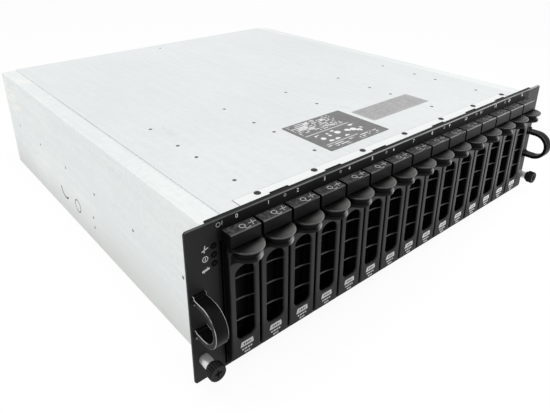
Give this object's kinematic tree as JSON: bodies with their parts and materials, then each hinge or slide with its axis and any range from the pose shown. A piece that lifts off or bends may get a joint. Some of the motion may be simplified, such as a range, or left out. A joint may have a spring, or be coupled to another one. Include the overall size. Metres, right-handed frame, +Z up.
{
  "type": "storage array",
  "caption": "Rack mounted disk array: pale sheet steel chassis, black front panel with pull handles, row of upright disk carriers with slotted levers, fan and control modules behind.",
  "frame": {"origin": "middle of the chassis underside, left to right and about half way from front to back", "axes": "+X to the right seen from the front, +Y to the back, +Z up"},
  "size_m": [0.4826, 0.53, 0.1325],
  "materials": {
    "zinc_steel": "zinc coated sheet",
    "black_paint": "fine satin black",
    "guide_plastic": "matt",
    "circuit_board": "green mask",
    "connector_plastic": "moulded",
    "carrier_plastic": "moulded",
    "lever_plastic": "fine grain",
    "screw_steel": "plated",
    "bright_metal": "plated",
    "knob_black": "moulded grip",
    "light_pipe": "clear",
    "module_steel": "zinc coated sheet",
    "fan_plastic": "moulded",
    "switch_plastic": "moulded",
    "latch_plastic": "moulded"
  },
  "bodies": {
    "chassis": {"chassis_shell": "zinc_steel", "top_cover": "zinc_steel", "front_panel": "black_paint", "lower_guide_tray": "guide_plastic", "upper_guide_tray": "guide_plastic", "backplane": "circuit_board", "backplane_connectors": "connector_plastic", "rear_cage": "zinc_steel", "pull_handle_left": "black_paint", "pull_handle_right": "black_paint", "machine_screws": "screw_steel", "thumbscrew_collars": "bright_metal", "status_lights": "light_pipe", "status_board": "circuit_board"},
    "carrier_00": {"carrier_00": "carrier_plastic"},
    "carrier_lever_00": {"carrier_lever_00": "lever_plastic"},
    "carrier_01": {"carrier_01": "carrier_plastic"},
    "carrier_lever_01": {"carrier_lever_01": "lever_plastic"},
    "carrier_02": {"carrier_02": "carrier_plastic"},
    "carrier_lever_02": {"carrier_lever_02": "lever_plastic"},
    "carrier_03": {"carrier_03": "carrier_plastic"},
    "carrier_lever_03": {"carrier_lever_03": "lever_plastic"},
    "carrier_04": {"carrier_04": "carrier_plastic"},
    "carrier_lever_04": {"carrier_lever_04": "lever_plastic"},
    "carrier_05": {"carrier_05": "carrier_plastic"},
    "carrier_lever_05": {"carrier_lever_05": "lever_plastic"},
    "carrier_06": {"carrier_06": "carrier_plastic"},
    "carrier_lever_06": {"carrier_lever_06": "lever_plastic"},
    "carrier_07": {"carrier_07": "carrier_plastic"},
    "carrier_lever_07": {"carrier_lever_07": "lever_plastic"},
    "carrier_08": {"carrier_08": "carrier_plastic"},
    "carrier_lever_08": {"carrier_lever_08": "lever_plastic"},
    "carrier_09": {"carrier_09": "carrier_plastic"},
    "carrier_lever_09": {"carrier_lever_09": "lever_plastic"},
    "carrier_10": {"carrier_10": "carrier_plastic"},
    "carrier_lever_10": {"carrier_lever_10": "lever_plastic"},
    "carrier_11": {"carrier_11": "carrier_plastic"},
    "carrier_lever_11": {"carrier_lever_11": "lever_plastic"},
    "carrier_12": {"carrier_12": "carrier_plastic"},
    "carrier_lever_12": {"carrier_lever_12": "lever_plastic"},
    "carrier_13": {"carrier_13": "carrier_plastic"},
    "carrier_lever_13": {"carrier_lever_13": "lever_plastic"},
    "carrier_14": {"carrier_14": "carrier_plastic"},
    "carrier_lever_14": {"carrier_lever_14": "lever_plastic"},
    "thumbscrew_left": {"thumbscrew_left": "knob_black"},
    "thumbscrew_right": {"thumbscrew_right": "knob_black"},
    "power_module_left": {"power_module_left": "module_steel"},
    "fan_rotor_left": {"fan_rotor_left": "fan_plastic"},
    "power_switch_left": {"power_switch_left": "switch_plastic"},
    "power_latch_left": {"power_latch_left": "latch_plastic"},
    "control_module_left": {"control_module_left": "module_steel"},
    "control_latch_left": {"control_latch_left": "latch_plastic"},
    "power_module_right": {"power_module_right": "module_steel"},
    "fan_rotor_right": {"fan_rotor_right": "fan_plastic"},
    "power_switch_right": {"power_switch_right": "switch_plastic"},
    "power_latch_right": {"power_latch_right": "latch_plastic"},
    "control_module_right": {"control_module_right": "module_steel"},
    "control_latch_right": {"control_latch_right": "latch_plastic"}
  },
  "joints": [
    {"name": "carrier_00_slide", "type": "slide", "parent": "chassis", "child": "carrier_00", "axis": [0, -1, 0], "range_m": [0, 0.16]},
    {"name": "carrier_lever_00_hinge", "type": "hinge", "parent": "carrier_00", "child": "carrier_lever_00", "pos_m": [-0.19908, -0.2476, 0.0082], "axis": [1, 0, 0], "range_deg": [0, 55]},
    {"name": "carrier_01_slide", "type": "slide", "parent": "chassis", "child": "carrier_01", "axis": [0, -1, 0], "range_m": [0, 0.16]},
    {"name": "carrier_lever_01_hinge", "type": "hinge", "parent": "carrier_01", "child": "carrier_lever_01", "pos_m": [-0.17064, -0.2476, 0.0082], "axis": [1, 0, 0], "range_deg": [0, 55]},
    {"name": "carrier_02_slide", "type": "slide", "parent": "chassis", "child": "carrier_02", "axis": [0, -1, 0], "range_m": [0, 0.16]},
    {"name": "carrier_lever_02_hinge", "type": "hinge", "parent": "carrier_02", "child": "carrier_lever_02", "pos_m": [-0.1422, -0.2476, 0.0082], "axis": [1, 0, 0], "range_deg": [0, 55]},
    {"name": "carrier_03_slide", "type": "slide", "parent": "chassis", "child": "carrier_03", "axis": [0, -1, 0], "range_m": [0, 0.16]},
    {"name": "carrier_lever_03_hinge", "type": "hinge", "parent": "carrier_03", "child": "carrier_lever_03", "pos_m": [-0.11376, -0.2476, 0.0082], "axis": [1, 0, 0], "range_deg": [0, 55]},
    {"name": "carrier_04_slide", "type": "slide", "parent": "chassis", "child": "carrier_04", "axis": [0, -1, 0], "range_m": [0, 0.16]},
    {"name": "carrier_lever_04_hinge", "type": "hinge", "parent": "carrier_04", "child": "carrier_lever_04", "pos_m": [-0.08532, -0.2476, 0.0082], "axis": [1, 0, 0], "range_deg": [0, 55]},
    {"name": "carrier_05_slide", "type": "slide", "parent": "chassis", "child": "carrier_05", "axis": [0, -1, 0], "range_m": [0, 0.16]},
    {"name": "carrier_lever_05_hinge", "type": "hinge", "parent": "carrier_05", "child": "carrier_lever_05", "pos_m": [-0.05688, -0.2476, 0.0082], "axis": [1, 0, 0], "range_deg": [0, 55]},
    {"name": "carrier_06_slide", "type": "slide", "parent": "chassis", "child": "carrier_06", "axis": [0, -1, 0], "range_m": [0, 0.16]},
    {"name": "carrier_lever_06_hinge", "type": "hinge", "parent": "carrier_06", "child": "carrier_lever_06", "pos_m": [-0.02844, -0.2476, 0.0082], "axis": [1, 0, 0], "range_deg": [0, 55]},
    {"name": "carrier_07_slide", "type": "slide", "parent": "chassis", "child": "carrier_07", "axis": [0, -1, 0], "range_m": [0, 0.16]},
    {"name": "carrier_lever_07_hinge", "type": "hinge", "parent": "carrier_07", "child": "carrier_lever_07", "pos_m": [0, -0.2476, 0.0082], "axis": [1, 0, 0], "range_deg": [0, 55]},
    {"name": "carrier_08_slide", "type": "slide", "parent": "chassis", "child": "carrier_08", "axis": [0, -1, 0], "range_m": [0, 0.16]},
    {"name": "carrier_lever_08_hinge", "type": "hinge", "parent": "carrier_08", "child": "carrier_lever_08", "pos_m": [0.02844, -0.2476, 0.0082], "axis": [1, 0, 0], "range_deg": [0, 55]},
    {"name": "carrier_09_slide", "type": "slide", "parent": "chassis", "child": "carrier_09", "axis": [0, -1, 0], "range_m": [0, 0.16]},
    {"name": "carrier_lever_09_hinge", "type": "hinge", "parent": "carrier_09", "child": "carrier_lever_09", "pos_m": [0.05688, -0.2476, 0.0082], "axis": [1, 0, 0], "range_deg": [0, 55]},
    {"name": "carrier_10_slide", "type": "slide", "parent": "chassis", "child": "carrier_10", "axis": [0, -1, 0], "range_m": [0, 0.16]},
    {"name": "carrier_lever_10_hinge", "type": "hinge", "parent": "carrier_10", "child": "carrier_lever_10", "pos_m": [0.08532, -0.2476, 0.0082], "axis": [1, 0, 0], "range_deg": [0, 55]},
    {"name": "carrier_11_slide", "type": "slide", "parent": "chassis", "child": "carrier_11", "axis": [0, -1, 0], "range_m": [0, 0.16]},
    {"name": "carrier_lever_11_hinge", "type": "hinge", "parent": "carrier_11", "child": "carrier_lever_11", "pos_m": [0.11376, -0.2476, 0.0082], "axis": [1, 0, 0], "range_deg": [0, 55]},
    {"name": "carrier_12_slide", "type": "slide", "parent": "chassis", "child": "carrier_12", "axis": [0, -1, 0], "range_m": [0, 0.16]},
    {"name": "carrier_lever_12_hinge", "type": "hinge", "parent": "carrier_12", "child": "carrier_lever_12", "pos_m": [0.1422, -0.2476, 0.0082], "axis": [1, 0, 0], "range_deg": [0, 55]},
    {"name": "carrier_13_slide", "type": "slide", "parent": "chassis", "child": "carrier_13", "axis": [0, -1, 0], "range_m": [0, 0.16]},
    {"name": "carrier_lever_13_hinge", "type": "hinge", "parent": "carrier_13", "child": "carrier_lever_13", "pos_m": [0.17064, -0.2476, 0.0082], "axis": [1, 0, 0], "range_deg": [0, 55]},
    {"name": "carrier_14_slide", "type": "slide", "parent": "chassis", "child": "carrier_14", "axis": [0, -1, 0], "range_m": [0, 0.16]},
    {"name": "carrier_lever_14_hinge", "type": "hinge", "parent": "carrier_14", "child": "carrier_lever_14", "pos_m": [0.19908, -0.2476, 0.0082], "axis": [1, 0, 0], "range_deg": [0, 55]},
    {"name": "thumbscrew_left_turn", "type": "hinge", "parent": "chassis", "child": "thumbscrew_left", "pos_m": [-0.23255, -0.245, 0.0207], "axis": [0, 1, 0], "continuous": true},
    {"name": "thumbscrew_right_turn", "type": "hinge", "parent": "chassis", "child": "thumbscrew_right", "pos_m": [0.23255, -0.245, 0.0207], "axis": [0, 1, 0], "continuous": true},
    {"name": "power_module_left_slide", "type": "slide", "parent": "chassis", "child": "power_module_left", "axis": [0, 1, 0], "range_m": [0, 0.28]},
    {"name": "fan_rotor_left_spin", "type": "hinge", "parent": "power_module_left", "child": "fan_rotor_left", "pos_m": [-0.1693, 0.23, 0.0428], "axis": [0, 1, 0], "continuous": true},
    {"name": "power_switch_left_rock", "type": "hinge", "parent": "power_module_left", "child": "power_switch_left", "pos_m": [-0.0311, 0.2375, 0.0595], "axis": [1, 0, 0], "range_deg": [-16, 0]},
    {"name": "power_latch_left_press", "type": "slide", "parent": "power_module_left", "child": "power_latch_left", "axis": [-1, 0, 0], "range_m": [0, 0.006], "stiffness_N_per_m": 200, "springref_m": -0.005},
    {"name": "control_module_left_slide", "type": "slide", "parent": "chassis", "child": "control_module_left", "axis": [0, 1, 0], "range_m": [0, 0.28]},
    {"name": "control_latch_left_press", "type": "slide", "parent": "control_module_left", "child": "control_latch_left", "axis": [-1, 0, 0], "range_m": [0, 0.006], "stiffness_N_per_m": 200, "springref_m": -0.005},
    {"name": "power_module_right_slide", "type": "slide", "parent": "chassis", "child": "power_module_right", "axis": [0, 1, 0], "range_m": [0, 0.28]},
    {"name": "fan_rotor_right_spin", "type": "hinge", "parent": "power_module_right", "child": "fan_rotor_right", "pos_m": [0.0531, 0.23, 0.0428], "axis": [0, 1, 0], "continuous": true},
    {"name": "power_switch_right_rock", "type": "hinge", "parent": "power_module_right", "child": "power_switch_right", "pos_m": [0.1913, 0.2375, 0.0595], "axis": [1, 0, 0], "range_deg": [-16, 0]},
    {"name": "power_latch_right_press", "type": "slide", "parent": "power_module_right", "child": "power_latch_right", "axis": [-1, 0, 0], "range_m": [0, 0.006], "stiffness_N_per_m": 200, "springref_m": -0.005},
    {"name": "control_module_right_slide", "type": "slide", "parent": "chassis", "child": "control_module_right", "axis": [0, 1, 0], "range_m": [0, 0.28]},
    {"name": "control_latch_right_press", "type": "slide", "parent": "control_module_right", "child": "control_latch_right", "axis": [-1, 0, 0], "range_m": [0, 0.006], "stiffness_N_per_m": 200, "springref_m": -0.005}
  ]
}
